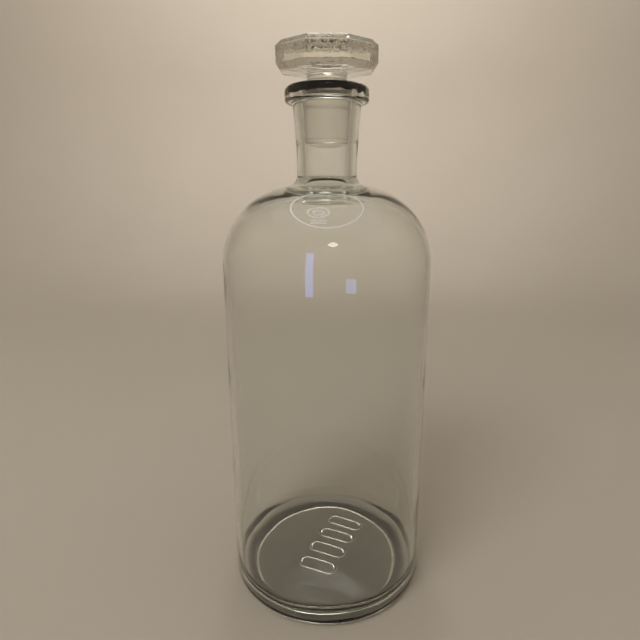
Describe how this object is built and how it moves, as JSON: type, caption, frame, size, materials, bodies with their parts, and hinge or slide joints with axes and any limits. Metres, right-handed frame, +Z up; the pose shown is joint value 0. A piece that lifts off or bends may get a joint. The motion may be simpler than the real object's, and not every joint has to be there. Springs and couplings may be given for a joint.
{
  "type": "reagent bottle",
  "caption": "Tall clear glass reagent bottle with rounded shoulder, collared neck and an octagonal-headed ground glass stopper.",
  "frame": {"origin": "centre of the ring that the bottle stands on, in the plane it stands on", "axes": "+Z up along the bottle's axis, -Y towards the front, where one flat of the stopper's octagonal head faces, +X to the right"},
  "size_m": [0.12, 0.12, 0.32],
  "materials": {
    "bottle_glass": "clear fire-polished glass with a faint grey-green tint, ground matt inside the neck socket",
    "stopper_glass": "clear pressed glass head and waist, with a ground matt plug"
  },
  "bodies": {
    "bottle": {"bottle": "bottle_glass"},
    "stopper": {"stopper": "stopper_glass"}
  },
  "joints": [
    {"name": "stopper_lift", "type": "slide", "parent": "bottle", "child": "stopper", "axis": [0, 0, 1], "range_m": [0, 0.06]}
  ]
}
